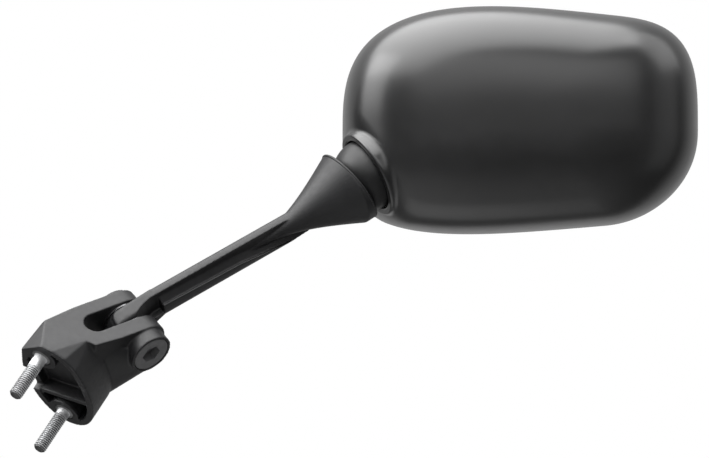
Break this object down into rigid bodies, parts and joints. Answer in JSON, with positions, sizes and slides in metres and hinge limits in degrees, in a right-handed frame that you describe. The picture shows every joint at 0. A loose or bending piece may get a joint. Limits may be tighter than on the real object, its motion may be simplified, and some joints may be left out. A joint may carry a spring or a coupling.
{
  "type": "motorcycle mirror",
  "caption": "Black folding rear view mirror: oval foot on two threaded studs, forked pivot, slim flared arm, ball joint and a large rounded housing with convex glass.",
  "frame": {"origin": "midway between the two fixing studs, on the mounting face of the foot", "axes": "+Z out of the mounting face into the foot, away from the stud tips; +Y from one stud to the other, away from the end where the fork leans over; +X to the side on which the arm rises"},
  "size_m": [0.2245, 0.1091, 0.3133],
  "materials": {
    "cast_black": "satin black coating over a light alloy casting",
    "stud_steel": "bright zinc plated steel",
    "bolt_black": "blackened steel",
    "washer_steel": "plain steel",
    "bush_bronze": "sintered bronze",
    "dome_plastic": "satin black",
    "ring_plastic": "natural white bearing plastic",
    "shell_plastic": "fine satin black",
    "carrier_plastic": "matt black",
    "foam": "dark closed cell foam",
    "mirror": "silvered, slightly convex"
  },
  "bodies": {
    "foot": {"mount_base": "cast_black", "stud_upper": "stud_steel", "stud_lower": "stud_steel", "pivot_bolt": "bolt_black", "pivot_washer_upper": "washer_steel", "pivot_washer_lower": "washer_steel"},
    "arm_body": {"arm": "cast_black", "pivot_bush": "bush_bronze", "neck_dome": "dome_plastic", "neck_stud": "stud_steel", "seat_washer": "washer_steel", "disc_spring_a": "washer_steel", "disc_spring_b": "washer_steel", "disc_spring_c": "washer_steel", "top_washer": "washer_steel", "lock_nut": "stud_steel"},
    "inner_ring": {"ball_liner": "ring_plastic"},
    "outer_ring": {"seat_ring": "ring_plastic"},
    "head": {"housing_shell": "shell_plastic", "glass_carrier": "carrier_plastic", "carrier_screw_a": "stud_steel", "carrier_screw_b": "stud_steel", "carrier_screw_c": "stud_steel", "carrier_screw_d": "stud_steel", "foam_pad": "foam", "mirror_glass": "mirror"}
  },
  "joints": [
    {"name": "arm_fold", "type": "hinge", "parent": "foot", "child": "arm_body", "pos_m": [0.0166, -0.0014, 0.0399], "axis": [0.8836, 0.1148, -0.454], "range_deg": [-50, 50]},
    {"name": "head_tilt", "type": "hinge", "parent": "arm_body", "child": "inner_ring", "pos_m": [0.07829, 0.00278, 0.16103], "axis": [-0.7522, 0.5289, 0.393], "range_deg": [-24, 8]},
    {"name": "head_pan", "type": "hinge", "parent": "inner_ring", "child": "outer_ring", "pos_m": [0.07829, 0.00278, 0.16103], "axis": [-0.4298, -0.8459, 0.3158], "range_deg": [-12, 12]},
    {"name": "head_spin", "type": "hinge", "parent": "outer_ring", "child": "head", "pos_m": [0.07829, 0.00278, 0.16103], "axis": [0.4994, 0.0686, 0.8636], "range_deg": [-15, 15]}
  ]
}
